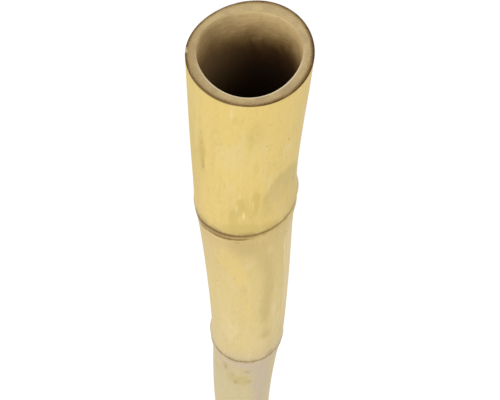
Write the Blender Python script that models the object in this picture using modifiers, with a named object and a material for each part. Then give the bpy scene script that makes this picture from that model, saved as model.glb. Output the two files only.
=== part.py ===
"""A bamboo cane: one length of culm, sawn across at both ends, lying on a flat surface.

Metres, +Z up. The cane runs along +X, with its thick, slanting saw cut at -X and its thin end at +X. The
origin is on the surface under the middle of the cane. It is a single natural piece: four nodes and five
internodes, with the first and the last internode open at their cuts, back to the wall that closes each node.

Positions along the cane are stations, in metres from the middle of the thick end's cut. An angle goes round
the cane from +Y (0 degrees) over the top, +Z (90 degrees).
"""

import math
from collections import namedtuple

import bpy

NAME = "bamboo_cane"

LENGTH = 1.000
SEGMENTS = 48

# A node: where its scar line lies, the radius of its swelling, the radius that the internodes before and
# after run to without it, the sideways place of its middle, how far the bud pushes that middle over, and how
# much the scar line leans along the cane, per metre sideways and per metre up.
Node = namedtuple("Node", "station radius before after offset bud_push lean_side lean_up")
NODES = (
    Node(0.148, 0.0403, 0.0386, 0.0386, -0.0037, 0.0009, -0.126, 0.037),
    Node(0.401, 0.0389, 0.0379, 0.0366, 0.0002, -0.0010, -0.044, -0.007),
    Node(0.668, 0.0369, 0.0357, 0.0351, -0.0068, 0.0010, 0.050, 0.010),
    Node(0.945, 0.0356, 0.0344, 0.0337, -0.0030, -0.0010, -0.060, -0.010),
)
REST_NODES = (NODES[0], NODES[-1])

# The two cuts: the radius there, the sideways place of the middle, and the slant in the same terms as a lean.
Cut = namedtuple("Cut", "radius offset lean_side lean_up")
THICK_CUT = Cut(0.0400, 0.0004, -0.061, 0.149)
THIN_CUT = Cut(0.0335, -0.0036, 0.0, 0.0)
THIN_END = LENGTH - THICK_CUT.radius * math.hypot(THICK_CUT.lean_side, THICK_CUT.lean_up)
SLANT_FADE = 0.060

# How far each internode bows sideways between its ends.
BOWS = (-0.0009, 0.0015, -0.0025, 0.0012, 0.0)

# The swelling fades slowly into the internodes on either side of a node.
SWELL_BEFORE = 0.0125
SWELL_AFTER = 0.0140

# Relief along the cane at each node, as bells: (distance from the scar line, half width, height).
NODE_RELIEF = (
    (-0.0022, 0.0024, 0.0004),
    (0.0016, 0.0017, -0.0007),
    (0.0074, 0.0036, 0.0005),
)
# The same on the side that carries the bud.
BUD_RELIEF = (
    (-0.0066, 0.0042, 0.0012),
    (-0.0010, 0.0034, -0.0010),
)
BUD_HALF_ANGLE = 36.0
FIRST_BUD_ANGLE = 0.0

# The shallow groove that runs along an internode from the bud behind it.
GROOVE_DEPTH = 0.0010
GROOVE_ANGLE = 18.0
GROOVE_HALF_ANGLE = 15.0
GROOVE_START = 0.020
GROOVE_LENGTH = 0.190

# The bore: how thick the wall is at each cut, and where it stops short of the node's scar line.
THICK_WALL = 0.0072
THIN_WALL = 0.0052
NODE_WALL_HALF = 0.0035
BORE_ROUNDING = 0.012
BORE_DISH = 0.0015
BORE_RISE = 0.0005
EDGE_BEVEL = 0.0004
# The mouth is not quite round: waves (how many round the mouth, height, angle of a crest), outside and inside.
MOUTH_WAVES = ((1, 0.00012, 227.0), (2, 0.00037, 78.0), (3, 0.00056, 62.0), (4, 0.00015, 14.0))
BORE_WAVES = ((1, 0.00058, 192.0), (2, 0.00035, 47.0), (3, 0.00073, 90.0))
MOUTH_FADE = 0.030

# How deep the cane is worn flat where it rests.
FLAT_DEPTH = 0.0006

# Distances from a node's scar line at which the surface has a ring of points.
NODE_RINGS = (-0.034, -0.022, -0.014, -0.0085, -0.005, -0.0022, -0.0006, 0.0006, 0.0018,
              0.0040, 0.0074, 0.0108, 0.015, 0.021, 0.031)
INTERNODE_RING_SPACING = 0.045
BORE_ROUNDING_STEPS = 4

CUTTER_SIZE = (1.2, 0.2, 0.02)
SHARP_ANGLE = 40.0

STRAW = (0.72, 0.56, 0.22, 1.0)
ROUGHNESS = 0.42


def sech(x):
    return 1.0 / math.cosh(x)


def bell(x, half_width):
    return math.exp(-((x / half_width) ** 2))


def between(x, points):
    """The value at x on the straight lines that join the (x, value) points."""
    if x <= points[0][0]:
        return points[0][1]
    for (x0, v0), (x1, v1) in zip(points, points[1:]):
        if x <= x1:
            return v0 + (v1 - v0) * (x - x0) / (x1 - x0)
    return points[-1][1]


def internode(station):
    """The number of the internode at a station, and the stations of its two ends."""
    ends = [0.0] + [node.station for node in NODES] + [THIN_END]
    for number in range(len(ends) - 1):
        if station < ends[number + 1] or number == len(ends) - 2:
            return number, ends[number], ends[number + 1]


def smooth_radius(station):
    """The mean radius at a station, with the wide swellings and without the fine relief."""
    number, start, end = internode(station)
    radius_from = NODES[number - 1].after if number else THICK_CUT.radius
    radius_to = NODES[number].before if number < len(NODES) else THIN_CUT.radius
    radius = radius_from + (radius_to - radius_from) * (station - start) / (end - start)
    if number:
        radius += (NODES[number - 1].radius - radius_from) * sech((station - start) / SWELL_AFTER)
    if number < len(NODES):
        radius += (NODES[number].radius - radius_to) * sech((end - station) / SWELL_BEFORE)
    return radius


def middle_offset(station):
    """The sideways place of the cane's middle: straight legs that turn at the nodes, each a little bowed."""
    number, start, end = internode(station)
    offset_from = NODES[number - 1].offset if number else THICK_CUT.offset
    offset_to = NODES[number].offset if number < len(NODES) else THIN_CUT.offset
    part = (station - start) / (end - start)
    offset = offset_from + (offset_to - offset_from) * part + BOWS[number] * 4 * part * (1 - part)
    for node in NODES:
        distance = station - node.station
        offset += node.bud_push * sech(distance / (SWELL_BEFORE if distance < 0 else SWELL_AFTER))
    return offset


def leans(station):
    """How far a ring of points leans along the cane, per metre sideways and per metre up."""
    places = [(0.0, THICK_CUT), (SLANT_FADE, NODES[0])]
    places += [(node.station, node) for node in NODES] + [(THIN_END, THIN_CUT)]
    side = between(station, [(place, ring.lean_side) for place, ring in places])
    up = between(station, [(place, ring.lean_up) for place, ring in places])
    return side, up


def angle_apart(angle, other):
    return abs((angle - other + 180.0) % 360.0 - 180.0)


def lobe(angle, middle, half_angle):
    """1 at the middle angle, falling smoothly to 0 at half_angle on either side."""
    apart = angle_apart(angle, middle)
    return 0.5 + 0.5 * math.cos(math.pi * apart / half_angle) if apart < half_angle else 0.0


def node_relief(station, angle):
    """The scar rim, the scar's furrow and the ridge above it, and the bud's own swelling."""
    height = 0.0
    for number, node in enumerate(NODES):
        distance = station - node.station
        height += sum(rise * bell(distance - place, width) for place, width, rise in NODE_RELIEF)
        side = lobe(angle, FIRST_BUD_ANGLE + 180.0 * number, BUD_HALF_ANGLE)
        height += side * sum(rise * bell(distance - place, width) for place, width, rise in BUD_RELIEF)
    return height


def groove(station, angle):
    """The furrow beyond each bud, deepest near the node and running out along the internode."""
    depth = 0.0
    for number, node in enumerate(NODES):
        distance = station - node.station - GROOVE_START
        if 0.0 < distance < GROOVE_LENGTH:
            along = math.sin(math.pi * (distance / GROOVE_LENGTH) ** 0.5) ** 0.5
            depth += GROOVE_DEPTH * along * lobe(angle, GROOVE_ANGLE + 180.0 * number, GROOVE_HALF_ANGLE)
    return depth


def uneven(station, angle, waves):
    """What the mouth's uneven outline adds to a radius, fading along the cane."""
    height = sum(size * math.cos(math.radians(count * (angle - crest))) for count, size, crest in waves)
    return height * max(0.0, 1.0 - station / MOUTH_FADE)


def outer_radius(station, angle):
    radius = smooth_radius(station) + node_relief(station, angle) - groove(station, angle)
    return radius + uneven(station, angle, MOUTH_WAVES)


def resting_radius(node):
    """The radius below a node where the cane touches the surface, at the crest of its scar rim."""
    return outer_radius(node.station + NODE_RELIEF[0][0], 270.0)


def axis_height(station):
    """The height of the cane's middle, so that it rests on its first and its last node."""
    first, last = REST_NODES
    heights = [resting_radius(node) - FLAT_DEPTH for node in REST_NODES]
    slope = (heights[1] - heights[0]) / (last.station - first.station)
    return heights[0] + slope * (station - first.station)


def outer_stations():
    """The stations of the outer surface's rings, from the thick cut's bevel to the thin one's."""
    stations = [EDGE_BEVEL, THIN_END - EDGE_BEVEL]
    for node in NODES:
        stations += [node.station + distance for distance in NODE_RINGS if node.station + distance < THIN_END]
    stations.sort()
    filled = []
    for here, following in zip(stations, stations[1:]):
        filled.append(here)
        steps = math.ceil((following - here) / INTERNODE_RING_SPACING)
        filled += [here + (following - here) * step / steps for step in range(1, steps)]
    return filled + [stations[-1]]


def bore_profile(cut_station, node, wall):
    """Points (station, radius) from the middle of the node's wall, round its foot and out to the cut."""
    inward = 1.0 if cut_station < node.station else -1.0
    mouth = smooth_radius(cut_station) - wall
    foot = smooth_radius(node.station - inward * 2 * SWELL_BEFORE) - wall
    floor = node.station - inward * NODE_WALL_HALF
    dish = floor + inward * BORE_DISH
    points = [(dish, 0.0), ((dish + floor) / 2, 0.7 * (foot - BORE_ROUNDING))]
    for step in range(BORE_ROUNDING_STEPS + 1):
        turn = math.radians(90.0 * step / BORE_ROUNDING_STEPS)
        points.append((floor - inward * BORE_ROUNDING * (1 - math.cos(turn)),
                       foot - BORE_ROUNDING * (1 - math.sin(turn))))
    points.append((cut_station + inward * EDGE_BEVEL, mouth))
    points.append((cut_station, mouth + EDGE_BEVEL))
    return points


def profile():
    """The turned outline, thick end up: out of the thick bore, down the outside, into the thin bore."""
    thick_bore = bore_profile(0.0, NODES[0], THICK_WALL)
    thin_bore = bore_profile(THIN_END, NODES[-1], THIN_WALL)
    outside = [(0.0, THICK_CUT.radius - EDGE_BEVEL)]
    outside += [(station, smooth_radius(station)) for station in outer_stations()]
    outside.append((THIN_END, THIN_CUT.radius - EDGE_BEVEL))
    return thick_bore + outside + thin_bore[::-1]


def turned_mesh():
    """The profile turned round the Z axis, with station 0 at the top."""
    line = bpy.data.meshes.new("cane_profile")
    vertices = [(radius, 0.0, -station) for station, radius in profile()]
    line.from_pydata(vertices, [(i, i + 1) for i in range(len(vertices) - 1)], [])
    turned = bpy.data.objects.new("cane_profile", line)
    bpy.context.scene.collection.objects.link(turned)
    screw = turned.modifiers.new("turn", "SCREW")
    screw.steps = SEGMENTS
    screw.render_steps = SEGMENTS
    screw.use_merge_vertices = True
    screw.merge_threshold = 0.00001
    screw.use_smooth_shade = True
    bpy.context.view_layer.update()
    evaluated = turned.evaluated_get(bpy.context.evaluated_depsgraph_get())
    mesh = bpy.data.meshes.new_from_object(evaluated)
    bpy.data.objects.remove(turned)
    bpy.data.meshes.remove(line)
    return mesh


def grow(mesh):
    """Moves each turned point to its place on the real cane, which lies along X with the origin under it."""
    for vertex in mesh.vertices:
        station = -vertex.co.z
        radius = math.hypot(vertex.co.x, vertex.co.y)
        angle = math.degrees(math.atan2(vertex.co.x, vertex.co.y))
        inside = radius < smooth_radius(station) - 2 * EDGE_BEVEL
        if inside:
            radius += uneven(station, angle, BORE_WAVES)
        else:
            radius *= outer_radius(station, angle) / smooth_radius(station)
        turn = math.radians(angle)
        side = radius * math.cos(turn)
        up = radius * math.sin(turn) + (BORE_RISE if inside else 0.0)
        lean_side, lean_up = leans(station)
        vertex.co.x = station + lean_side * side + lean_up * up
        vertex.co.y = middle_offset(station) + side
        vertex.co.z = axis_height(station) + up
    for axis in (0, 1):
        places = [vertex.co[axis] for vertex in mesh.vertices]
        middle = (min(places) + max(places)) / 2
        for vertex in mesh.vertices:
            vertex.co[axis] -= middle


def bamboo_material():
    material = bpy.data.materials.new("dry_straw_bamboo")
    material.use_nodes = True
    shader = material.node_tree.nodes["Principled BSDF"]
    shader.inputs["Base Color"].default_value = STRAW
    shader.inputs["Roughness"].default_value = ROUGHNESS
    shader.inputs["Metallic"].default_value = 0.0
    return material


def surface_cutter(collection):
    """A slab whose top is the surface that the cane lies on: it wears the resting nodes flat."""
    bpy.ops.mesh.primitive_cube_add(size=1.0, location=(0.0, 0.0, -CUTTER_SIZE[2] / 2))
    cutter = bpy.context.object
    cutter.name = "surface_cutter"
    cutter.scale = CUTTER_SIZE
    cutter.hide_render = True
    cutter.display_type = "WIRE"
    for holder in list(cutter.users_collection):
        holder.objects.unlink(cutter)
    collection.objects.link(cutter)
    return cutter


def main():
    for thing in list(bpy.data.objects):
        bpy.data.objects.remove(thing)
    parts = bpy.data.collections.new(NAME)
    cutters = bpy.data.collections.new("cutters")
    bpy.context.scene.collection.children.link(parts)
    bpy.context.scene.collection.children.link(cutters)

    mesh = turned_mesh()
    mesh.name = NAME
    grow(mesh)
    mesh.materials.clear()
    mesh.materials.append(bamboo_material())
    mesh.shade_smooth()
    mesh.set_sharp_from_angle(angle=math.radians(SHARP_ANGLE))
    cane = bpy.data.objects.new(NAME, mesh)
    parts.objects.link(cane)

    flats = cane.modifiers.new("resting_flats", "BOOLEAN")
    flats.operation = "DIFFERENCE"
    flats.solver = "EXACT"
    flats.object = surface_cutter(cutters)


main()
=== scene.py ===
"""A bamboo cane on a pale floor, seen from above its sawn thick end. Lengths are in metres."""

import math
from collections import namedtuple

import bpy
import numpy as np
from mathutils import Matrix, Vector


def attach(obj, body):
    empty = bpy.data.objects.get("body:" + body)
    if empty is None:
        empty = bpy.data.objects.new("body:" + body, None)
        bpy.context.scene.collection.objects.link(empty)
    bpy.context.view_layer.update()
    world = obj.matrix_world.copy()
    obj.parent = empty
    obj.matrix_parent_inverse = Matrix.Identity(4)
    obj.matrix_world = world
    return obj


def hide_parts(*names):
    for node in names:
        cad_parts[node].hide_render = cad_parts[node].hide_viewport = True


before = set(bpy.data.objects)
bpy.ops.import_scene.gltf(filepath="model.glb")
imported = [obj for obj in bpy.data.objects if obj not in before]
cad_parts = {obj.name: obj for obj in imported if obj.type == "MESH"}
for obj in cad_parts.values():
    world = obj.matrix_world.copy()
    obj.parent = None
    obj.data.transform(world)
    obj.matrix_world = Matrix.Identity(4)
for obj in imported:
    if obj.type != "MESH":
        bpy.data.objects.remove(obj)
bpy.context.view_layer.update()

# The cane's form
# Stations run along the cane in metres from the middle of the thick end's cut. Angles are in degrees round
# the cane, from +Y over the top (90). The dimensions are the CAD's too, apart from the fine relief of the
# scar rims and the second scar line.
LENGTH = 1.000
Node = namedtuple("Node", "station radius before after offset bud_push lean_side lean_up")
NODES = (
    Node(0.148, 0.0403, 0.0386, 0.0386, -0.0037, 0.0009, -0.126, 0.037),
    Node(0.401, 0.0389, 0.0379, 0.0366, 0.0002, -0.0010, -0.044, -0.007),
    Node(0.668, 0.0369, 0.0357, 0.0351, -0.0068, 0.0010, 0.050, 0.010),
    Node(0.945, 0.0356, 0.0344, 0.0337, -0.0030, -0.0010, -0.060, -0.010),
)
Cut = namedtuple("Cut", "radius offset lean_side lean_up")
THICK_CUT = Cut(0.0400, 0.0004, -0.061, 0.149)
THIN_CUT = Cut(0.0335, -0.0036, 0.0, 0.0)
THIN_END = LENGTH - THICK_CUT.radius * math.hypot(THICK_CUT.lean_side, THICK_CUT.lean_up)
SLANT_FADE = 0.060
BOWS = (-0.0009, 0.0015, -0.0025, 0.0012, 0.0)
SWELL_BEFORE = 0.0125
SWELL_AFTER = 0.0140
# Further from a node than this many swell lengths, its swelling is nothing.
SWELL_REACH = 40.0
FIRST_BUD_ANGLE = 0.0
BUD_HALF_ANGLE = 36.0
# The bud's relief: how far past the scar line each rise or hollow lies, its half width and its height.
BUD_RELIEF = ((-0.0066, 0.0042, 0.0012), (-0.0010, 0.0034, -0.0010))
GROOVE_DEPTH = 0.0010
GROOVE_ANGLE = 18.0
GROOVE_HALF_ANGLE = 15.0
GROOVE_START = 0.020
GROOVE_LENGTH = 0.190
THICK_WALL = 0.0072
THIN_WALL = 0.0052
NODE_WALL_HALF = 0.0035
BORE_ROUNDING = 0.012
BORE_DISH = 0.0015
BORE_RISE = 0.0005
EDGE_BEVEL = 0.0004
# The mouth is not quite round. Its waves, outside and inside: how many round it, height, angle of a crest.
MOUTH_WAVES = ((1, 0.00012, 227.0), (2, 0.00037, 78.0), (3, 0.00056, 62.0), (4, 0.00015, 14.0))
BORE_WAVES = ((1, 0.00058, 192.0), (2, 0.00035, 47.0), (3, 0.00073, 90.0))
MOUTH_FADE = 0.030
FLAT_DEPTH = 0.0006

# The scar rim's fine relief: a lip that rises to the scar line, a furrow right after it and the node's ridge.
LIP_HEIGHT = 0.0005
LIP_FADE = 0.0028
FURROW_PLACE = 0.0004
FURROW_DEPTH = 0.0010
FURROW_WIDTH = 0.0012
RIDGE_PLACE = 0.0074
RIDGE_WIDTH = 0.0036
RIDGE_HEIGHT = 0.0005
# The second, partial scar line lies this far past the first one at these angles.
SECOND_SCAR_NODE = 0
SECOND_SCAR_PLACES = ((90.0, 0.0045), (131.0, 0.0068), (150.0, 0.0120))
SECOND_SCAR_ANGLE = 138.0
SECOND_SCAR_HALF_ANGLE = 62.0
SECOND_SCAR_DEPTH = 0.0006
SECOND_SCAR_WIDTH = 0.0010

# The mesh: points round the cane, and ring spacings (within this distance of a scar line, this spacing).
ROUND_POINTS = 144
RING_SPACINGS = ((0.0030, 0.0004), (0.0140, 0.0009), (0.0360, 0.0018))
INTERNODE_SPACING = 0.0030
CUT_RINGS = 9
# The bore's rings: on the node's wall (from this part of its radius to that), in the rounding and beyond.
NODE_WALL_RINGS = (0.1, 0.95, 10)
ROUNDING_RINGS = 9
BORE_RINGS = 60
Ring = namedtuple("Ring", "station radius zone")
ZONES = ("skin", "cut", "bore")
SHARP_ANGLE = 50.0


def sech(x):
    return 1.0 / np.cosh(np.minimum(np.abs(x), SWELL_REACH))


def bell(x, half_width):
    return np.exp(-((x / half_width) ** 2))


def apart(angle, middle):
    """How far the angle lies from the middle one, from -180 to 180."""
    return (angle - middle + 180.0) % 360.0 - 180.0


def lobe(angle, middle, half_angle):
    """1 at the middle angle, falling smoothly to 0 at half_angle on either side."""
    away = np.abs(apart(angle, middle))
    return np.where(away < half_angle, 0.5 + 0.5 * np.cos(np.pi * away / half_angle), 0.0)


def internodes(station):
    """Which internode each station is in, how far along it (0 to 1), and the distances to its two ends."""
    ends = np.array([0.0] + [node.station for node in NODES] + [THIN_END])
    number = np.clip(np.searchsorted(ends, station, side="right") - 1, 0, len(NODES))
    start, end = ends[number], ends[number + 1]
    return number, (station - start) / (end - start), station - start, end - station


def smooth_radius(station):
    """The radius without the fine relief: straight tapers that swell towards the nodes."""
    number, part, past, ahead = internodes(station)
    radius_from = np.array([THICK_CUT.radius] + [node.after for node in NODES])[number]
    radius_to = np.array([node.before for node in NODES] + [THIN_CUT.radius])[number]
    swell_from = np.array([THICK_CUT.radius] + [node.radius for node in NODES])[number]
    swell_to = np.array([node.radius for node in NODES] + [THIN_CUT.radius])[number]
    radius = radius_from + (radius_to - radius_from) * part
    radius = radius + (swell_from - radius_from) * sech(past / SWELL_AFTER)
    return radius + (swell_to - radius_to) * sech(ahead / SWELL_BEFORE)


def middle_offset(station):
    """How far to the side the cane's middle lies."""
    number, part, _, _ = internodes(station)
    offsets = np.array([THICK_CUT.offset] + [node.offset for node in NODES] + [THIN_CUT.offset])
    offset = offsets[number] + (offsets[number + 1] - offsets[number]) * part
    offset = offset + np.array(BOWS)[number] * 4 * part * (1 - part)
    for node in NODES:
        distance = station - node.station
        offset = offset + node.bud_push * sech(distance / np.where(distance < 0, SWELL_BEFORE, SWELL_AFTER))
    return offset


def leans(station):
    """How far along the cane a ring leans for each metre to its side, and for each metre up."""
    places = [0.0, SLANT_FADE] + [node.station for node in NODES] + [THIN_END]
    rings = [THICK_CUT, NODES[0]] + list(NODES) + [THIN_CUT]
    side = np.interp(station, places, [ring.lean_side for ring in rings])
    up = np.interp(station, places, [ring.lean_up for ring in rings])
    return side, up


def scar_distance(station):
    """The signed distance from the nearest node's scar line, and that node's number."""
    distances = np.stack([station - node.station for node in NODES])
    nearest = np.abs(distances).argmin(axis=0)
    return np.take_along_axis(distances, nearest[None], axis=0)[0], nearest


def second_scar(number, angle):
    """How strong the second, partial scar line is at these angles, and how far past the first it lies."""
    strength = (number == SECOND_SCAR_NODE) * lobe(angle, SECOND_SCAR_ANGLE, SECOND_SCAR_HALF_ANGLE)
    angles, places = zip(*SECOND_SCAR_PLACES)
    return strength, np.interp(angle, angles, places)


def scar_relief(station, angle):
    """The height of the scar rim's lip, furrow and ridge, of the second scar line and of the bud's relief."""
    distance, number = scar_distance(station)
    lip = np.where(distance < 0, LIP_HEIGHT * np.exp(distance / LIP_FADE), 0.0)
    furrow = np.where(distance >= 0, -FURROW_DEPTH * bell(distance - FURROW_PLACE, FURROW_WIDTH), 0.0)
    ridge = RIDGE_HEIGHT * bell(distance - RIDGE_PLACE, RIDGE_WIDTH)
    second, place = second_scar(number, angle)
    ledge = -SECOND_SCAR_DEPTH * second * bell(distance - place, SECOND_SCAR_WIDTH)
    bud_side = lobe(angle, FIRST_BUD_ANGLE + 180.0 * number, BUD_HALF_ANGLE)
    bud = bud_side * sum(rise * bell(distance - place, width) for place, width, rise in BUD_RELIEF)
    return lip + furrow + ridge + ledge + bud


def groove(station, angle):
    """The depth of the grooves, each beyond the bud of the node before it."""
    depth = 0.0
    for number, node in enumerate(NODES):
        part = np.clip((station - node.station - GROOVE_START) / GROOVE_LENGTH, 0.0, 1.0)
        along = np.sin(np.pi * part ** 0.5) ** 0.5
        depth = depth + GROOVE_DEPTH * along * lobe(angle, GROOVE_ANGLE + 180.0 * number, GROOVE_HALF_ANGLE)
    return depth


def uneven(station, angle, waves):
    """What the mouth's uneven outline adds to a radius, fading along the cane."""
    height = sum(size * np.cos(np.radians(count * (angle - crest))) for count, size, crest in waves)
    return height * np.maximum(0.0, 1.0 - station / MOUTH_FADE)


def outer_radius(station, angle):
    radius = smooth_radius(station) + scar_relief(station, angle) - groove(station, angle)
    return radius + uneven(station, angle, MOUTH_WAVES)


def axis_height(station):
    """The height of the cane's middle, which rests on the surface at its first and its last node."""
    first, last = NODES[0], NODES[-1]
    heights = [node.radius + LIP_HEIGHT - FLAT_DEPTH for node in (first, last)]
    slope = (heights[1] - heights[0]) / (last.station - first.station)
    return heights[0] + slope * (station - first.station)


def ring_stations():
    """The outer surface's ring stations, close together at the scar lines and wider between the nodes."""
    stations = [EDGE_BEVEL]
    while stations[-1] < THIN_END - EDGE_BEVEL - INTERNODE_SPACING:
        here = stations[-1]
        near = min(abs(here - node.station) for node in NODES)
        step = next((spacing for reach, spacing in RING_SPACINGS if near < reach), INTERNODE_SPACING)
        stations.append(here + step)
    return np.array(stations + [THIN_END - EDGE_BEVEL])


def bore_rings(cut_station, node, wall):
    """Rings (station, radius) from the middle of the node's wall out to the cut's inner edge."""
    inward = 1.0 if cut_station < node.station else -1.0
    mouth = float(smooth_radius(np.array([cut_station]))[0]) - wall
    foot = float(smooth_radius(np.array([node.station - inward * 2 * SWELL_BEFORE]))[0]) - wall
    floor = node.station - inward * NODE_WALL_HALF
    flat = foot - BORE_ROUNDING
    rings = []
    for part in np.linspace(*NODE_WALL_RINGS):
        rings.append((floor + inward * BORE_DISH * (1 - part ** 2), flat * part))
    for turn in np.radians(np.linspace(0.0, 90.0, ROUNDING_RINGS)):
        inset = BORE_ROUNDING * (1 - math.sin(turn))
        rings.append((floor - inward * BORE_ROUNDING * (1 - math.cos(turn)), foot - inset))
    start = rings[-1][0]
    edge = cut_station + inward * EDGE_BEVEL
    for part in np.linspace(0.0, 1.0, BORE_RINGS)[1:]:
        rings.append((start + (edge - start) * part, foot + (mouth - foot) * part))
    return rings


def cane_rings():
    """Every ring of the closed surface in turn. The outside's rings have the radius 0, and get it later."""
    thick = bore_rings(0.0, NODES[0], THICK_WALL)
    thin = bore_rings(THIN_END, NODES[-1], THIN_WALL)
    rings = [Ring(station, radius, "bore") for station, radius in thick]
    inner = thick[-1][1] + EDGE_BEVEL
    for radius in np.linspace(inner, THICK_CUT.radius - EDGE_BEVEL, CUT_RINGS):
        rings.append(Ring(0.0, radius, "cut"))
    rings += [Ring(station, 0.0, "skin") for station in ring_stations()]
    inner = thin[-1][1] + EDGE_BEVEL
    for radius in np.linspace(THIN_CUT.radius - EDGE_BEVEL, inner, CUT_RINGS):
        rings.append(Ring(THIN_END, radius, "cut"))
    return rings + [Ring(station, radius, "bore") for station, radius in thin[::-1]]


def wall_edges(station):
    """The inner and the outer radius of the wall at the nearer cut."""
    inner = np.where(station < LENGTH / 2, THICK_CUT.radius - THICK_WALL, THIN_CUT.radius - THIN_WALL)
    return inner, np.where(station < LENGTH / 2, THICK_CUT.radius, THIN_CUT.radius)


# Where the colours lie
# A scar line is heaviest at one angle, and round another the first node's line drops a little.
HEAVY_LINE_ANGLE = 135.0
LINE_DROP = 0.0026
LINE_DROP_ANGLE = 152.0
LINE_DROP_HALF_ANGLE = 24.0
# The brown band between the two scar lines comes and goes within these lengths.
BAND_START = 0.001
BAND_END = 0.0015
# The second line's colour is full from a sixth of its strength on.
SECOND_LINE_GAIN = 6.0
# The groove's painted light, a pale strip in it and a pale thin ridge at its edge where its relief would
# catch the light: where it starts past the node, and the lengths that it comes and goes in.
GROOVE_LIGHT_START = 0.012
GROOVE_LIGHT_RISE = 0.030
GROOVE_LIGHT_FALL = 0.060
# How much deeper the bore's pale mouth reaches at some angles (angle, half angle, share): painted light
# reaching further in on the lit side, and painted shade closer to the mouth on the other.
BORE_LIGHT_REACHES = ((270.0, 60.0, 0.12), (342.0, 28.0, 0.07), (210.0, 40.0, -0.12))
# Painted light and shade by angle: painted shade on one side of the sawn end, and in the bore a patch of
# painted light on one side and painted shade at its mouth, these two also by the depth.
CUT_SHADE_ANGLE = 184.0
CUT_SHADE_HALF_ANGLE = 60.0
PaintedPatch = namedtuple("PaintedPatch", "angle half_angle depth half_depth")
PAINTED_LIGHT_IN_BORE = PaintedPatch(200.0, 85.0, 0.036, 0.030)
MOUTH_SHADE_PATCH = PaintedPatch(220.0, 50.0, 0.006, 0.009)

# Marks on the skin: station, angle, half length along the cane, half width round it and strength. Dull, warm,
# pale and grey ones are soft fields as wide as a finger, and the stains are smaller.
Mark = namedtuple("Mark", "station angle half_length half_width strength")
# The radius that turns a soft mark's angle into a width.
MARK_RADIUS = 0.038
MARKS = {
    "dull": (
        Mark(0.028, 84, 0.022, 0.008, 0.52),
        Mark(0.022, 30, 0.016, 0.007, 0.30),
        Mark(0.062, 138, 0.024, 0.004, 0.72),
        # Painted shade along the side of the first internode at 158 degrees.
        Mark(0.080, 158, 0.100, 0.012, 0.62),
        Mark(0.116, 88, 0.018, 0.010, 0.42),
        Mark(0.109, 94, 0.011, 0.003, 0.85),
        Mark(0.123, 103, 0.010, 0.003, 0.80),
        Mark(0.108, 78, 0.013, 0.003, 0.90),
        Mark(0.138, 98, 0.008, 0.010, 0.55),
        # Painted shade just before the first scar line's lip.
        Mark(0.142, 80, 0.008, 0.020, 0.62),
        Mark(0.160, 96, 0.012, 0.014, 0.45),
        Mark(0.172, 84, 0.014, 0.014, 0.60),
        Mark(0.196, 66, 0.022, 0.008, 0.55),
        Mark(0.240, 60, 0.034, 0.007, 0.75),
        Mark(0.290, 66, 0.034, 0.007, 0.75),
        Mark(0.342, 63, 0.012, 0.007, 0.75),
        Mark(0.372, 55, 0.020, 0.008, 0.40),
        Mark(0.330, 150, 0.050, 0.007, 0.30),
        Mark(0.415, 60, 0.016, 0.012, 0.35),
        Mark(0.440, 128, 0.012, 0.004, 0.50),
        Mark(0.458, 118, 0.012, 0.004, 0.40),
        Mark(0.462, 97, 0.018, 0.012, 0.95),
        Mark(0.725, 60, 0.050, 0.014, 0.70),
        Mark(0.840, 120, 0.060, 0.012, 0.70),
    ),
    "warm": (
        Mark(0.060, 108, 0.030, 0.012, 0.40),
        Mark(0.120, 125, 0.030, 0.014, 0.45),
        Mark(0.190, 115, 0.020, 0.010, 0.80),
        Mark(0.216, 99, 0.018, 0.008, 0.65),
        Mark(0.285, 90, 0.050, 0.010, 0.45),
        Mark(0.355, 95, 0.026, 0.012, 0.40),
        Mark(0.450, 100, 0.012, 0.006, 0.55),
    ),
    "pale": (
        Mark(0.150, 40, 0.020, 0.010, 0.35),
        Mark(0.062, 45, 0.014, 0.008, 0.45),
        Mark(0.128, 52, 0.012, 0.006, 0.40),
        Mark(0.182, 61, 0.012, 0.004, 0.65),
        Mark(0.292, 51, 0.016, 0.004, 0.60),
        Mark(0.257, 47, 0.012, 0.003, 0.60),
        # A painted highlight just past the second scar line.
        Mark(0.158, 128, 0.004, 0.016, 0.45),
        Mark(0.330, 118, 0.040, 0.014, 0.45),
    ),
    "grey": (
        Mark(0.412, 96, 0.010, 0.030, 0.65),
        Mark(0.428, 70, 0.020, 0.016, 0.55),
        Mark(0.470, 58, 0.040, 0.012, 0.80),
        Mark(0.560, 55, 0.080, 0.014, 0.80),
        Mark(0.800, 60, 0.100, 0.012, 0.60),
    ),
    "stain": (
        Mark(0.046, 139, 0.010, 0.0013, 0.26),
        Mark(0.060, 138, 0.009, 0.0022, 0.38),
        Mark(0.073, 137, 0.007, 0.0022, 0.42),
        Mark(0.030, 140, 0.012, 0.0011, 0.26),
        Mark(0.010, 139, 0.010, 0.0022, 0.24),
        Mark(0.100, 74, 0.006, 0.0030, 0.22),
        Mark(0.386, 62, 0.004, 0.0030, 0.35),
        Mark(0.393, 52, 0.004, 0.0050, 0.70),
        Mark(0.432, 127, 0.012, 0.0036, 0.60),
        Mark(0.434, 88, 0.007, 0.0060, 0.42),
        Mark(0.469, 106, 0.007, 0.0032, 0.62),
        Mark(0.466, 82, 0.007, 0.0030, 0.52),
        Mark(0.449, 114, 0.009, 0.0034, 0.45),
    ),
}

# The dull patch over the first scar line starts along this ragged edge, given as (angle, station). It is at
# its strongest a rise's length further on, then fades by this share, and ends just past the line.
PATCH_EDGE = ((-30, 0.150), (-8, 0.124), (15, 0.092), (38, 0.078), (58, 0.080), (67, 0.093), (80, 0.098),
              (90, 0.116), (100, 0.134), (112, 0.150))
PATCH_STRENGTH = 0.78
PATCH_RISE = 0.012
PATCH_FADE_LENGTH = 0.030
PATCH_FADE = 0.50
PATCH_PAST_LINE = 0.001

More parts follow.
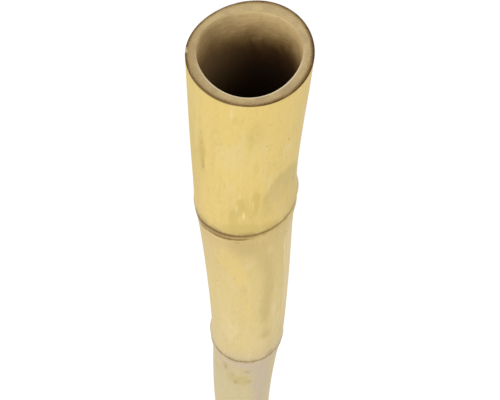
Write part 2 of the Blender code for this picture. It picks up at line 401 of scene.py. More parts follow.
# Crisp spots: pale flecks and dark specks on the skin, and chips at the edge of the cut.
FLECKS = (
    Mark(0.122, 91, 0.0060, 0.0011, 0.60),
    Mark(0.111, 81, 0.0070, 0.0010, 0.34),
    Mark(0.112, 98, 0.0060, 0.0011, 0.30),
    Mark(0.099, 95, 0.0030, 0.0022, 0.22),
    Mark(0.010, 106, 0.0060, 0.0011, 0.28),
    Mark(0.318, 41, 0.0060, 0.0014, 0.45),
    Mark(0.070, 133, 0.0110, 0.0009, 0.30),
)
SPECKS = (
    Mark(0.051, 46, 0.0012, 0.0009, 0.55),
    Mark(0.045, 71, 0.0010, 0.0009, 0.35),
    Mark(0.109, 27, 0.0022, 0.0008, 0.65),
    Mark(0.064, 48, 0.0010, 0.0008, 0.40),
    Mark(0.239, 134, 0.0012, 0.0022, 0.40),
    Mark(0.158, 99, 0.0016, 0.0030, 0.40),
)
CHIPS = (Mark(0.0, 183, 0.0020, 0.0016, 0.60), Mark(0.0, 186, 0.0020, 0.0012, 0.45))


def mark_field(station, angle, marks):
    """The marks as one soft field over stations and angles."""
    field = np.zeros_like(station)
    for mark in marks:
        around = np.radians(apart(angle, mark.angle)) * MARK_RADIUS
        reach = ((station - mark.station) / mark.half_length) ** 2 + (around / mark.half_width) ** 2
        field = field + mark.strength * np.exp(-reach)
    return field


def patch_field(station, angle):
    """1 just inside the edge of the dull patch over the first scar line, less further in, and 0 outside."""
    angles, starts = np.array(PATCH_EDGE).T
    past = station - np.interp((angle + 90.0) % 360.0 - 90.0, angles, starts)
    fade = 1.0 - PATCH_FADE * np.clip((past - PATCH_RISE) / PATCH_FADE_LENGTH, 0.0, 1.0)
    before_end = station < NODES[0].station + PATCH_PAST_LINE
    return np.clip(past / PATCH_RISE, 0.0, 1.0) * fade * before_end


def painted_patch_field(angle, depth, brown):
    """1 in the middle of a patch of the bore's painted light and shade, falling smoothly round it."""
    return lobe(angle, brown.angle, brown.half_angle) * bell(depth - brown.depth, brown.half_depth)


def line_fields(station, angle):
    """The fields that the scar lines are coloured by."""
    scar, number = scar_distance(station)
    second, place = second_scar(number, angle)
    drop = LINE_DROP * lobe(angle, LINE_DROP_ANGLE, LINE_DROP_HALF_ANGLE)
    between = np.clip(np.minimum(scar / BAND_START, (place - scar) / BAND_END), 0, 1)
    return {
        "scar": scar,
        "line_weight": 0.5 + 0.5 * np.cos(np.radians(angle - HEAVY_LINE_ANGLE)),
        "line_drop": drop * (number == SECOND_SCAR_NODE),
        "band": second ** 0.5 * between,
        "ledge": np.clip(second * SECOND_LINE_GAIN, 0, 1),
        "past_ledge": scar - place,
    }


def groove_fields(station, angle):
    """The fields that the grooves' painted light is laid by: degrees off the groove, and where it runs."""
    behind = np.clip(internodes(station)[0] - 1, 0, None)
    past = station - np.array([node.station for node in NODES])[behind]
    rise = np.clip((past - GROOVE_LIGHT_START) / GROOVE_LIGHT_RISE, 0, 1)
    fall = np.clip((GROOVE_START + GROOVE_LENGTH - past) / GROOVE_LIGHT_FALL, 0, 1)
    return {"off_groove": apart(angle - 180.0 * behind, GROOVE_ANGLE), "groove_run": rise * fall}


def end_fields(station, angle, given):
    """The fields that the sawn ends and the bores are coloured by, their painted light and shade among them.
    """
    inner, outer = wall_edges(station)
    depth = np.minimum(station, THIN_END - station)
    # Painted light at the bore's mouth reaches deeper at some angles, and its painted shade starts later
    # there.
    reach = 1.0 + sum(share * lobe(angle, middle, half) for middle, half, share in BORE_LIGHT_REACHES)
    return {
        "outward": np.clip((np.where(given > 0, given, outer) - inner) / (outer - inner), 0, 1),
        "depth": depth / reach,
        "far_side": 0.5 - 0.5 * np.sin(np.radians(angle)),
        "cut_painted_shade": lobe(angle, CUT_SHADE_ANGLE, CUT_SHADE_HALF_ANGLE),
        "mouth_painted_shade": painted_patch_field(angle, depth, MOUTH_SHADE_PATCH),
        "side_painted_light": painted_patch_field(angle, depth, PAINTED_LIGHT_IN_BORE),
    }


def colour_fields(station, angle, given):
    """The soft fields that the materials read, at every ring point."""
    fields = line_fields(station, angle)
    fields.update(groove_fields(station, angle))
    fields.update(end_fields(station, angle, given))
    for name, marks in MARKS.items():
        fields[name] = mark_field(station, angle, marks)
    fields["patch"] = np.clip(PATCH_STRENGTH * patch_field(station, angle) - fields["dull"], 0.0, 1.0)
    return fields


def ring_radii(station, angle, given, zone):
    """Every ring point's radius, and how much the bore lies above the cane's middle there."""
    inside = (zone == "bore")[:, None]
    outside = outer_radius(station, angle)
    bore = given + uneven(station, angle, BORE_WAVES) * np.minimum(given / BORE_ROUNDING, 1.0)
    inner_edge, outer_edge = wall_edges(station)
    across = np.clip((given - inner_edge) / (outer_edge - inner_edge), 0.0, 1.0)
    inner = inner_edge + uneven(station, angle, BORE_WAVES)
    cut = inner + (outside - inner) * across
    radius = np.where(given == 0, outside, np.where(inside, bore, cut))
    rise = np.where(inside, 1.0, np.where(given == 0, 0.0, 1.0 - across)) * BORE_RISE
    return radius, rise


def lying_points(station, side, up):
    """The bent cane's ring points as it lies with its middle at the origin, and that middle before."""
    lean_side, lean_up = leans(station)
    x = station + lean_side * side + lean_up * up
    y = middle_offset(station) + side
    z = np.maximum(axis_height(station) + up, 0.0)
    middle = ((x.min() + x.max()) / 2, (y.min() + y.max()) / 2)
    return np.stack([x - middle[0], y - middle[1], z], axis=-1), middle


def with_poles(grid):
    """The grid's points in one row, with the middles of its first and last ring at the end."""
    return np.vstack([grid.reshape(-1, 3), grid[0].mean(axis=0), grid[-1].mean(axis=0)])


def cane_faces(zone):
    """The faces between the rings and round the two poles, and the zone of each."""
    faces, zones = [], []
    for row in range(len(zone) - 1):
        here, following = row * ROUND_POINTS, (row + 1) * ROUND_POINTS
        kind = zone[row] if zone[row] == zone[row + 1] else "cut"
        for j in range(ROUND_POINTS):
            k = (j + 1) % ROUND_POINTS
            faces.append((here + j, here + k, following + k, following + j))
            zones.append(kind)
    first_pole = len(zone) * ROUND_POINTS
    last_pole = first_pole + 1
    last = (len(zone) - 1) * ROUND_POINTS
    for j in range(ROUND_POINTS):
        k = (j + 1) % ROUND_POINTS
        faces.append((first_pole, k, j))
        faces.append((last_pole, last + j, last + k))
        zones += ["bore", "bore"]
    return faces, zones


def cane_mesh():
    """The whole cane as one closed mesh, with its straightened position and its fields as attributes."""
    rings = cane_rings()
    zone = np.array([ring.zone for ring in rings])
    given = np.array([ring.radius for ring in rings])[:, None]
    station = np.repeat(np.array([ring.station for ring in rings])[:, None], ROUND_POINTS, axis=1)
    angle = np.repeat((np.arange(ROUND_POINTS) * 360.0 / ROUND_POINTS)[None, :], len(rings), axis=0)
    turn = np.radians(angle)
    radius, rise = ring_radii(station, angle, given, zone)
    side = radius * np.cos(turn)
    up = radius * np.sin(turn)
    points, middle = lying_points(station, side, up + rise)
    faces, zones = cane_faces(zone)

    mesh = bpy.data.meshes.new("bamboo_cane_surface")
    mesh.from_pydata(with_poles(points).tolist(), [], faces)
    straight = with_poles(np.stack([side, up, station], axis=-1))
    attribute = mesh.attributes.new("straight", "FLOAT_VECTOR", "POINT")
    attribute.data.foreach_set("vector", straight.astype(np.float32).ravel())
    for name, field in colour_fields(station, angle, given).items():
        whole_field = np.append(field.ravel(), [field[0, 0], field[-1, 0]])
        attribute = mesh.attributes.new(name, "FLOAT", "POINT")
        attribute.data.foreach_set("value", whole_field.astype(np.float32))
    return mesh, zones, middle


# Materials
# A noise: how finely it varies across the cane and along it, its detail and its distortion.
Noise = namedtuple("Noise", "across along detail distortion")
# A layer of colour: mixed in up to this share, from nothing where its field is at start to all where it is at
# full (with no start, by the field's own value), and within its mask. A share or a tone given as a word is
# a field too.
Layer = namedtuple("Layer", "field start full share tone mask", defaults=(None,))
# How a surface shines and how deep its bump is. The skin's roughness is a range.
Look = namedtuple("Look", "roughness specular bump_depth bump_strength")

# Skin colours at stations from the thick end along the cane. They repeat what each internode shows: a
# yellower start, a paler middle and a duller band just past each scar line.
SKIN_TONES = (
    (0.000, (216, 189, 113)),
    (0.135, (217, 190, 114)),
    (0.152, (193, 167, 106)),
    (0.175, (203, 179, 120)),
    (0.240, (210, 187, 122)),
    (0.380, (208, 187, 130)),
    (0.400, (194, 173, 140)),
    (0.440, (193, 176, 132)),
    (0.520, (197, 182, 138)),
    (0.640, (203, 184, 138)),
    (0.675, (190, 168, 128)),
    (0.740, (206, 184, 132)),
    (0.940, (202, 180, 129)),
    (0.960, (188, 166, 123)),
    (1.000, (198, 176, 127)),
)
DULL_SKIN = (186, 164, 103)
OLIVE_SKIN = (194, 169, 90)
PALE_SKIN = (214, 195, 145)
WARM_SKIN = (222, 194, 113)
GREY_SKIN = (188, 171, 148)
SCAR_BROWN = (78, 54, 26)
LINE_BROWN = (104, 78, 26)
STAIN_BROWN = (138, 110, 62)
PALE_TONE_AND_GROOVE_LIGHT = (224, 202, 152)
GROOVE_RIDGE_LIGHT = (236, 214, 158)
FLECK_PALE = (238, 214, 150)

# Clouds are a few centimetres long, smears, flakes and grain are finer, and fibre streaks are long and thin.
SKIN_NOISES = {
    "warp": Noise(60.0, 18.0, 1.0, 0.0),
    "clouds": Noise(44.0, 15.0, 3.0, 1.2),
    "smears": Noise(105.0, 30.0, 3.0, 2.0),
    "streaks": Noise(430.0, 10.0, 3.0, 0.0),
    "flakes": Noise(160.0, 62.0, 2.5, 3.0),
    "grain": Noise(700.0, 260.0, 2.0, 0.0),
    "fringe": Noise(260.0, 60.0, 2.0, 0.0),
}
SKIN_LAYERS = (
    Layer("clouds", 0.48, 0.72, 0.38, PALE_SKIN),
    Layer("smears", 0.52, 0.76, 0.34, WARM_SKIN, "yellow"),
    Layer("smears", 0.46, 0.26, 0.30, "darker"),
    Layer("flakes", 0.54, 0.70, 0.16, PALE_TONE_AND_GROOVE_LIGHT),
    Layer("flakes", 0.46, 0.30, 0.24, "darker"),
    Layer("grey", 0.16, 0.80, 0.75, GREY_SKIN),
    Layer("pale", 0.16, 0.80, 0.50, PALE_TONE_AND_GROOVE_LIGHT),
    Layer("warm", 0.16, 0.80, 0.38, WARM_SKIN),
    Layer("dull", 0.16, 0.80, 0.62, "smudge"),
    Layer("patch", 0.16, 0.80, 0.60, DULL_SKIN),
    Layer("streaks", 0.54, 0.80, 0.12, "darker"),
    Layer("streaks", 0.46, 0.24, 0.14, PALE_TONE_AND_GROOVE_LIGHT),
    Layer("grain", 0.56, 0.82, 0.08, STAIN_BROWN),
    # The groove's painted light: a pale strip in the groove and a pale thin ridge at its edge.
    Layer("groove_painted_light", 17.0, 9.0, 0.55, PALE_TONE_AND_GROOVE_LIGHT, "groove_run"),
    Layer("groove_edge_painted_light", 2.0, 0.4, 0.65, GROOVE_RIDGE_LIGHT, "groove_breaks"),
    Layer("stain_flakes", 0.10, 0.75, 0.52, STAIN_BROWN, "near_stain"),
)
SOFT_MARKS = ("grey", "pale", "warm", "dull", "patch")
# How much a noise moves or breaks up a field, and pairs for where a step starts and where it is full.
TONE_WANDER = 0.018
MARK_BREAKUP = 0.8
STAIN_BREAKUP = 1.1
STAIN_EDGE = (0.02, 0.20)
YELLOW_REACH = (0.420, 0.120)
OLIVE_REACH = (0.152, 0.132)
GROOVE_EDGE_WANDER = 16.0
GROOVE_EDGE_BREAKS = (0.30, 0.60)
BUMP_SMEARS = 0.8
SKIN_LOOK = Look((0.46, 0.62), 0.20, 0.00015, 0.6)

# The scar lines, dark partly as dirt and partly as painted shadow under the rim's lip, with a brown fringe
# before them that is partly painted shade, and the edge of the cut that the saw has browned. A layer's pair
# gives the distances from the line or the edge where its colour starts and where it is full.
SCAR_LAYERS = (
    # A brown fringe before the scar line, partly stain and partly painted shade of the lip.
    Layer("from_fringe", 0.0070, 0.0010, 0.55, STAIN_BROWN, "fringe_breaks"),
    Layer("band", None, None, 0.75, STAIN_BROWN, "band_breaks"),
    # The scar line, dark partly as dirt and partly as painted shadow under the rim's lip.
    Layer("from_line", 0.0029, 0.0007, "line_share", "line_tone"),
    Layer("from_ledge", 0.0016, 0.0004, 0.80, LINE_BROWN, "ledge"),
    Layer("from_cut", 0.0010, 0.0002, 0.66, SCAR_BROWN),
)
# How far the fringe and the line lie from the scar, where they break up, how unevenly they run and how
# strong they are. A line is stronger on its heavy side, and the first node's is the strongest.
FRINGE_OFFSET = 0.0004
FRINGE_BREAKS = (0.34, 0.62)
FRINGE_WEIGHT = (-0.9, 1.0)
BAND_BREAKS = (0.05, 0.45)
LINE_OFFSET = 0.0001
LINE_WANDER = 0.0018
LINE_THINNING = 0.0004
LINE_SHARE = 0.42
HEAVY_SHARE = 0.20
FIRST_SHARE = 0.18
FIRST_REACH = (0.320, 0.220)
LINE_HEAVY = (0.86, 1.0)
LEDGE_WANDER = -0.0016
SINGE_HEAVY = (0.88, 1.0)
SINGE_WIDER = 0.0007

# The sawn ends' colours, and what makes their dark outer edge ragged.
CUT_NOISES = {"dots": Noise(1300.0, 1300.0, 2.0, 0.0), "clouds": Noise(110.0, 110.0, 2.0, 0.0)}
CUT_TONE = (174, 152, 114)
CUT_LAYERS = (
    Layer("clouds", 0.35, 0.65, 1.0, (194, 171, 124)),
    Layer("outward", 0.30, 1.0, 0.55, (148, 121, 72)),
    Layer("dots", 0.50, 0.72, 0.32, (128, 100, 58)),
    Layer("dots", 0.48, 0.28, 0.26, (226, 200, 148)),
    Layer("far_side", None, None, 0.24, (220, 194, 138)),
    # A painted highlight along the inner edge, on the near side only.
    Layer("outward", 0.20, 0.05, 0.95, (226, 212, 176), "near_side_highlight"),
    # Painted shade on one side of the sawn end.
    Layer("cut_painted_shade", None, None, 0.31, (148, 121, 80)),
    Layer("ragged", 0.66, 0.96, 0.85, (108, 78, 38)),
    Layer("ragged", 0.90, 1.04, 0.70, (54, 38, 18)),
)
CHIP_PALE = (226, 206, 164)
HIGHLIGHT_SIDE = (0.62, 0.12)
TORN_RAGGEDNESS = 0.30
SIDE_RAGGEDNESS = 0.08
SIDE_BALANCE = 0.3
RIGHT_SIDE = (0.95, 0.45)
RIGHT_RAGGEDNESS = 0.13
CUT_LOOK = Look(0.85, 0.15, 0.0002, 0.5)

# The inner wall's colours by depth from the cut, as a part of this depth: painted shade, darker deeper into
# the bore.
BORE_DEPTH = 0.100
BORE_TONES = (
    (0.00, (226, 200, 146)),
    (0.07, (220, 190, 136)),
    (0.14, (190, 160, 108)),
    (0.21, (128, 98, 56)),
    (0.29, (78, 54, 34)),
    (0.46, (56, 42, 30)),
    (0.80, (32, 21, 14)),
    (1.00, (24, 16, 10)),
)
BORE_NOISES = {
    "blotch": Noise(90.0, 60.0, 3.0, 1.0),
    "pith": Noise(260.0, 380.0, 3.0, 0.0),
    "flecks": Noise(130.0, 620.0, 3.0, 0.6),
}
BORE_LAYERS = (
    Layer("pith", 0.54, 0.78, 0.10, (112, 86, 50)),
    # A patch of painted light deep in the bore on one side.
    Layer("side_painted_light", None, None, 0.66, (170, 140, 98)),
    # Painted shade on one side of the bore's mouth.
    Layer("mouth_painted_shade", None, None, 0.45, (124, 101, 66)),
    Layer("flecks", 0.55, 0.70, 0.50, (222, 194, 142), "pale_reach"),
    Layer("flecks", 0.45, 0.32, 0.22, (124, 98, 60), "brown_reach"),
)
DEPTH_WANDER = 0.012
PALE_REACH = (0.26, 0.12)
BROWN_REACH = (0.30, 0.15)
BORE_LOOK = Look(0.8, 0.1, 0.0002, 0.5)
# A crisp spot starts and is full at these parts of its half width and half length.
SPOT_EDGE = (1.3, 0.3)


def screen(red, green, blue):
    """A colour given as 0 to 255 on a screen, as the linear values that a shader takes."""
    values = [c / 255.0 for c in (red, green, blue)]
    return tuple(c / 12.92 if c <= 0.04045 else ((c + 0.055) / 1.055) ** 2.4 for c in values) + (1.0,)


class Graph:
    """A material's node tree, with a short method for each kind of node that the bamboo needs."""

    def __init__(self, name):
        self.material = bpy.data.materials.new(name)
        self.material.use_nodes = True
        self.tree = self.material.node_tree
        self.shader = self.tree.nodes["Principled BSDF"]

    def add(self, kind, *inputs, **settings):
        node = self.tree.nodes.new(kind)
        for key, value in settings.items():
            setattr(node, key, value)
        for socket, value in zip(node.inputs, inputs):
            self.feed(socket, value)
        return node

    def feed(self, socket, value):
        """Links another node's output to the socket, or sets the socket's own value."""
        if value is None:
            return
        if isinstance(value, bpy.types.NodeSocket):
            self.tree.links.new(value, socket)
        else:
            socket.default_value = value

    def set(self, name, value):
        self.feed(self.shader.inputs[name], value)

    def vector(self, name):
        return self.add("ShaderNodeAttribute", attribute_name=name).outputs["Vector"]

    def value(self, name):
        return self.add("ShaderNodeAttribute", attribute_name=name).outputs["Fac"]

    def stretch(self, vector, across, along):
        """The straightened position, scaled round the cane and along it."""
        node = self.add("ShaderNodeVectorMath", vector, operation="MULTIPLY")
        node.inputs[1].default_value = (across, across, along)
        return node.outputs[0]

    def noise(self, vector, detail, distortion):
        node = self.add("ShaderNodeTexNoise")
        self.feed(node.inputs["Vector"], vector)
        node.inputs["Scale"].default_value = 1.0
        node.inputs["Detail"].default_value = detail
        node.inputs["Distortion"].default_value = distortion
        return node.outputs["Fac"]

    def noises(self, position, noises):
        """The named noises over the straightened position."""
        made = {}
        for name, noise in noises.items():
            vector = self.stretch(position, noise.across, noise.along)
            made[name] = self.noise(vector, noise.detail, noise.distortion)
        return made

    def values(self, *names):
        return {name: self.value(name) for name in names}

    def math(self, operation, first, second=None):
        return self.add("ShaderNodeMath", first, second, operation=operation).outputs[0]

    def less(self, first, second):
        return self.math("SUBTRACT", first, second)

    def size(self, value):
        return self.math("ABSOLUTE", value)

    def plus(self, *values):
        total = values[0]
        for value in values[1:]:
            total = self.math("ADD", total, value)
        return total

    def times(self, *values):
        product = values[0]
        for value in values[1:]:
            product = self.math("MULTIPLY", product, value)
        return product

    def swing(self, noise, size):
        """The noise as a swing round 0."""
        return self.times(self.less(noise, 0.5), size)

    def step(self, value, low, high):
        """0 below low, 1 above high and a smooth rise between them. With low above high it falls."""
        node = self.add("ShaderNodeMapRange", value, interpolation_type="SMOOTHSTEP")
        node.inputs["From Min"].default_value = min(low, high)
        node.inputs["From Max"].default_value = max(low, high)
        node.inputs["To Min"].default_value = 0.0 if low < high else 1.0
        node.inputs["To Max"].default_value = 1.0 if low < high else 0.0
        return node.outputs[0]

    def between(self, value, low, high):
        """Low where the value is 0, high where it is 1."""
        return self.add("ShaderNodeMapRange", value, 0.0, 1.0, low, high).outputs[0]

    def mix(self, factor, first, second):
        node = self.add("ShaderNodeMix", data_type="RGBA")
        self.feed(node.inputs["Factor"], factor)
        self.feed(node.inputs[6], first)
        self.feed(node.inputs[7], second)
        return node.outputs[2]

    def layers(self, colour, fields, layers):
        """The colour with the layers mixed in one after another."""
        for layer in layers:
            amount = fields[layer.field]
            if layer.start is not None:
                amount = self.step(amount, layer.start, layer.full)
            if layer.mask:
                amount = self.times(amount, fields[layer.mask])
            share = fields[layer.share] if isinstance(layer.share, str) else layer.share
            tone = fields[layer.tone] if isinstance(layer.tone, str) else screen(*layer.tone)
            colour = self.mix(self.times(amount, share), colour, tone)
        return colour

    def ramp(self, value, tones):
        """The colour that a table of (place, colour) gives for the value."""
        node = self.add("ShaderNodeValToRGB", value)
        node.color_ramp.interpolation = "B_SPLINE"
        points = node.color_ramp.elements
        while len(points) < len(tones):
            points.new(1.0)
        for point, (place, tone) in zip(points, tones):
            point.position = place
            point.color = screen(*tone)
        return node.outputs["Color"]

    def finish(self, colour, look, height, roughness):
        """The whole material from its colour, its look and the height of its bump."""
        self.set("Base Color", colour)
        self.set("Roughness", roughness)
        self.set("Specular IOR Level", look.specular)
        bump = self.add("ShaderNodeBump")
        bump.inputs["Strength"].default_value = look.bump_strength
        bump.inputs["Distance"].default_value = look.bump_depth
        self.feed(bump.inputs["Height"], height)
        self.set("Normal", bump.outputs[0])
        return self.material


def spots(graph, position, marks):
    """Small crisp spots, each an ellipse round its own place on the straightened cane."""
    amounts = []
    for mark in marks:
        radius = float(smooth_radius(np.array([mark.station]))[0])
        turn = math.radians(mark.angle)
        place = (radius * math.cos(turn), radius * math.sin(turn), mark.station)
        away = graph.add("ShaderNodeVectorMath", position, place, operation="SUBTRACT").outputs[0]
        scaled = graph.stretch(away, 1.0 / mark.half_width, 1.0 / mark.half_length)
        reach = graph.add("ShaderNodeVectorMath", scaled, operation="LENGTH").outputs["Value"]
        amounts.append(graph.times(graph.step(reach, *SPOT_EDGE), mark.strength))
    return graph.plus(*amounts)


def add_skin_fields(graph, fields):
    """The fields of the skin's layers: the soft marks broken up by noise, the stains and the groove's painted
    light.
    """
    yellow = graph.step(fields["along"], *YELLOW_REACH)
    olive = graph.step(fields["along"], *OLIVE_REACH)
    fields["yellow"] = yellow
    fields["darker"] = graph.mix(yellow, screen(*DULL_SKIN), screen(*OLIVE_SKIN))
    fields["smudge"] = graph.mix(olive, screen(*DULL_SKIN), screen(*OLIVE_SKIN))
    breakup = graph.less(graph.plus(fields["smears"], fields["flakes"]), 1.0)
    for name in SOFT_MARKS:
        fields[name] = graph.plus(graph.value(name), graph.times(breakup, MARK_BREAKUP))
    stain = graph.value("stain")
    fields["stain_flakes"] = graph.plus(stain, graph.swing(fields["flakes"], STAIN_BREAKUP))
    fields["near_stain"] = graph.step(stain, *STAIN_EDGE)
    off = graph.value("off_groove")
    fields["groove_run"] = graph.value("groove_run")
    fields["groove_painted_light"] = graph.size(off)
    wander = graph.plus(off, graph.swing(fields["clouds"], GROOVE_EDGE_WANDER))
    fields["groove_edge_painted_light"] = graph.size(graph.less(wander, GROOVE_HALF_ANGLE))
    breaks = graph.step(fields["smears"], *GROOVE_EDGE_BREAKS)
    fields["groove_breaks"] = graph.times(fields["groove_run"], breaks)


def add_scar_fields(graph, fields):
    """The scar lines' fields. A line, dark partly as dirt and partly as painted shadow of the rim's lip, is
    heavier on one side, and its brown fringe, partly painted shade, comes and goes.
    """
    fields.update(graph.values("scar", "line_weight", "band", "ledge"))
    scar, weight, fringe = fields["scar"], fields["line_weight"], fields["fringe"]
    fields["from_fringe"] = graph.size(graph.plus(scar, FRINGE_OFFSET))
    broken = graph.step(fringe, *FRINGE_BREAKS)
    fields["fringe_breaks"] = graph.times(broken, graph.step(weight, *FRINGE_WEIGHT))
    fields["band_breaks"] = graph.step(fringe, *BAND_BREAKS)
    dropped = graph.less(graph.plus(scar, LINE_OFFSET), graph.value("line_drop"))
    wander = graph.times(graph.less(graph.plus(fringe, fields["smears"]), 1.0), LINE_WANDER)
    thinner = graph.times(graph.less(1.0, weight), LINE_THINNING)
    fields["from_line"] = graph.plus(graph.size(dropped), wander, thinner)
    first = graph.step(fields["along"], *FIRST_REACH)
    heavier = graph.times(weight, HEAVY_SHARE)
    fields["line_share"] = graph.plus(LINE_SHARE, heavier, graph.times(first, FIRST_SHARE))
    warm = graph.times(graph.step(weight, *LINE_HEAVY), first)
    fields["line_tone"] = graph.mix(warm, screen(*LINE_BROWN), screen(*SCAR_BROWN))
    ledge = graph.size(graph.value("past_ledge"))
    fields["from_ledge"] = graph.plus(ledge, graph.swing(fringe, LEDGE_WANDER))
    wider = graph.times(graph.step(weight, *SINGE_HEAVY), SINGE_WIDER)
    fields["from_cut"] = graph.less(fields["along"], wider)


def skin_material():
    """The outer skin, with its marks, the painted light of its grooves, its scar lines (partly painted
    shadow) and the edge that the saw has browned.
    """
    graph = Graph("bamboo_skin")
    position = graph.vector("straight")
    fields = graph.noises(position, SKIN_NOISES)
    fields["along"] = graph.add("ShaderNodeSeparateXYZ", position).outputs[2]
    add_skin_fields(graph, fields)
    add_scar_fields(graph, fields)
    place = graph.plus(fields["along"], graph.swing(fields["warp"], TONE_WANDER))
    colour = graph.layers(graph.ramp(place, SKIN_TONES), fields, SKIN_LAYERS)
    colour = graph.mix(spots(graph, position, FLECKS), colour, screen(*FLECK_PALE))
    colour = graph.mix(spots(graph, position, SPECKS), colour, screen(*STAIN_BROWN))
    colour = graph.layers(colour, fields, SCAR_LAYERS)
    height = graph.plus(fields["streaks"], graph.times(fields["smears"], BUMP_SMEARS))
    roughness = graph.between(fields["clouds"], *SKIN_LOOK.roughness)
    return graph.finish(colour, SKIN_LOOK, height, roughness)


def cut_material():
    """The sawn end: pale at the bore, browner outwards, with the fibre bundles as fine dots, a painted
    highlight along the near side of the inner edge and painted shade on one side.
    """
    graph = Graph("bamboo_sawn_end")
    position = graph.vector("straight")
    fields = graph.noises(position, CUT_NOISES)
    fields.update(graph.values("outward", "far_side", "cut_painted_shade"))
    far_side = fields["far_side"]
    fields["near_side_highlight"] = graph.step(far_side, *HIGHLIGHT_SIDE)
    torn = graph.plus(graph.less(fields["clouds"], 0.5), graph.less(fields["dots"], 0.5))
    far = graph.times(graph.less(far_side, SIDE_BALANCE), SIDE_RAGGEDNESS)
    right = graph.times(graph.less(1.0, graph.value("line_weight")), graph.step(far_side, *RIGHT_SIDE))
    ragged = graph.plus(fields["outward"], graph.times(torn, TORN_RAGGEDNESS), far)
    fields["ragged"] = graph.plus(ragged, graph.times(right, RIGHT_RAGGEDNESS))
    colour = graph.layers(screen(*CUT_TONE), fields, CUT_LAYERS)
    colour = graph.mix(spots(graph, position, CHIPS), colour, screen(*CHIP_PALE))
    return graph.finish(colour, CUT_LOOK, fields["dots"], CUT_LOOK.roughness)


def bore_material():
    """The inner wall: as pale as the cut at the mouth, and dark with depth as painted shade, with a patch of
    painted light on one side and painted shade at one side of the mouth.
    """
    graph = Graph("bamboo_bore")
    fields = graph.noises(graph.vector("straight"), BORE_NOISES)
    fields.update(graph.values("side_painted_light", "mouth_painted_shade"))
    depth = graph.plus(graph.value("depth"), graph.swing(fields["blotch"], DEPTH_WANDER))
    part = graph.times(depth, 1.0 / BORE_DEPTH)
    fields["pale_reach"] = graph.step(part, *PALE_REACH)
    fields["brown_reach"] = graph.step(part, *BROWN_REACH)
    colour = graph.layers(graph.ramp(part, BORE_TONES), fields, BORE_LAYERS)
    return graph.finish(colour, BORE_LOOK, fields["pith"], BORE_LOOK.roughness)


def make_cane():
    """Builds the cane and puts it on the frame's root. Gives the middle that its points were moved by."""
    mesh, zones, middle = cane_mesh()
    for build in (skin_material, cut_material, bore_material):
        mesh.materials.append(build())
    mesh.polygons.foreach_set("material_index", [ZONES.index(kind) for kind in zones])
    mesh.polygons.foreach_set("use_smooth", [True] * len(zones))
    mesh.set_sharp_from_angle(angle=math.radians(SHARP_ANGLE))
    cane = bpy.data.objects.new("bamboo_cane_surface", mesh)
    bpy.context.scene.collection.objects.link(cane)
    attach(cane, "root")
    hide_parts("bamboo_cane")
    return middle


# The floor and the light
WHITE = (1.0, 1.0, 1.0, 1.0)
FLOOR_RADIUS = 12.0
FLOOR_POINTS = 96
FLOOR_LOOK = {
    "Base Color": (0.10, 0.10, 0.10, 1.0),
    "Roughness": 0.9,
    "Emission Color": WHITE,
    "Emission Strength": 0.94,
    "Specular IOR Level": 0.0,
}
SKY_STRENGTH = 0.86
LAMP_POWER = 13.0
LAMP_SIZE = 1.4
LAMP_PLACE = (-0.4, -0.5, 1.9)
LAMP_AIM = (-0.3, 0.0, 0.04)


def floor_material():
    graph = Graph("pale_floor")
    for name, value in FLOOR_LOOK.items():
        graph.set(name, value)
    return graph.material


def make_floor():
    """A plain white floor, so evenly bright that the cane throws next to no shadow on it."""
    bpy.ops.mesh.primitive_circle_add(
        vertices=FLOOR_POINTS, radius=FLOOR_RADIUS, fill_type="NGON", location=(0, 0, 0))
    floor = bpy.context.object
    floor.name = "floor"
    floor.data.materials.append(floor_material())


def make_sky():
    world = bpy.data.worlds.new("studio")
    world.use_nodes = True
    background = world.node_tree.nodes["Background"]
    background.inputs["Color"].default_value = WHITE
    background.inputs["Strength"].default_value = SKY_STRENGTH
    bpy.context.scene.world = world


def make_lamp():
    light = bpy.data.lights.new("overhead", "AREA")
    light.energy = LAMP_POWER
    light.size = LAMP_SIZE
    lamp = bpy.data.objects.new("overhead", light)
    lamp.location = LAMP_PLACE
    lamp.rotation_euler = (Vector(LAMP_AIM) - lamp.location).to_track_quat("-Z", "Y").to_euler()
    bpy.context.scene.collection.objects.link(lamp)


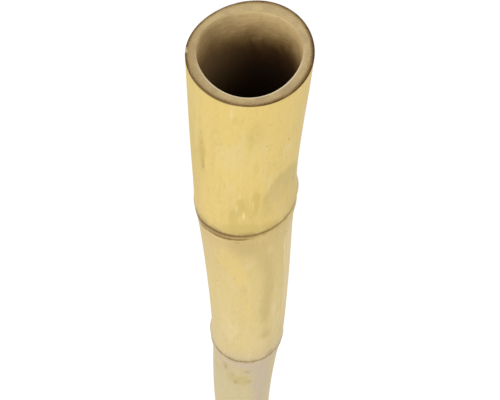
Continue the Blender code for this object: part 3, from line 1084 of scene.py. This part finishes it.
# The photograph's camera
# Pixels are of the photograph's frame, the lens and the sensor are in millimetres, and the mouth's depth is
# how far ahead of the camera its middle lies.
FRAME_PIXELS = (500, 400)
LENS = 50.0
SENSOR = 36.0
CLIP_START = 0.01
CLIP_END = 50.0
CAMERA_PITCH = 35.0
CAMERA_YAW = -0.36
MOUTH_PIXEL = (249.95, 51.00)
MOUTH_DEPTH = 0.4248


def seen_axes():
    """The directions along, beside and over the cane as the camera sees them (right, down, ahead)."""
    pitch, yaw = math.radians(CAMERA_PITCH), math.radians(CAMERA_YAW)
    along = Vector((math.sin(yaw), math.sin(pitch) * math.cos(yaw), math.cos(pitch) * math.cos(yaw)))
    side = Vector((1.0, 0.0, 0.0)) - along.x * along
    side.normalize()
    return along, side, along.cross(side)


def lying_axes():
    """The same three directions in the world, where the cane's axis sinks a little towards the thin end."""
    sink = math.atan((axis_height(0.0) - axis_height(LENGTH)) / LENGTH)
    along = Vector((math.cos(sink), 0.0, -math.sin(sink)))
    return along, Vector((0.0, 1.0, 0.0)), Vector((math.sin(sink), 0.0, math.cos(sink)))


def to_world(direction):
    """A direction in camera terms (right, down, ahead) as one in the world."""
    along, side, up = [direction.dot(seen) * lying for seen, lying in zip(seen_axes(), lying_axes())]
    return along + side + up


def make_camera(middle):
    """The photograph's camera, placed so that the middle of the mouth is at its pixel."""
    pixels_per_unit = LENS / SENSOR * FRAME_PIXELS[0]
    off_centre = [(place - size / 2) / pixels_per_unit for place, size in zip(MOUTH_PIXEL, FRAME_PIXELS)]
    to_mouth = to_world(Vector((*off_centre, 1.0)) * MOUTH_DEPTH)
    right, down, ahead = (to_world(Vector(axis)) for axis in ((1, 0, 0), (0, 1, 0), (0, 0, 1)))
    camera = bpy.data.cameras.new("camera")
    camera.lens = LENS
    camera.sensor_width = SENSOR
    camera.clip_start = CLIP_START
    camera.clip_end = CLIP_END
    holder = bpy.data.objects.new("camera", camera)
    mouth = Vector((-middle[0], -middle[1], axis_height(0.0)))
    turned = Matrix((right, -down, -ahead)).transposed()
    holder.matrix_world = Matrix.Translation(mouth - to_mouth) @ turned.to_4x4()
    bpy.context.scene.collection.objects.link(holder)
    bpy.context.scene.camera = holder


cane_middle = make_cane()
make_floor()
make_sky()
make_lamp()
make_camera(cane_middle)
bpy.context.scene.view_settings.view_transform = "Standard"
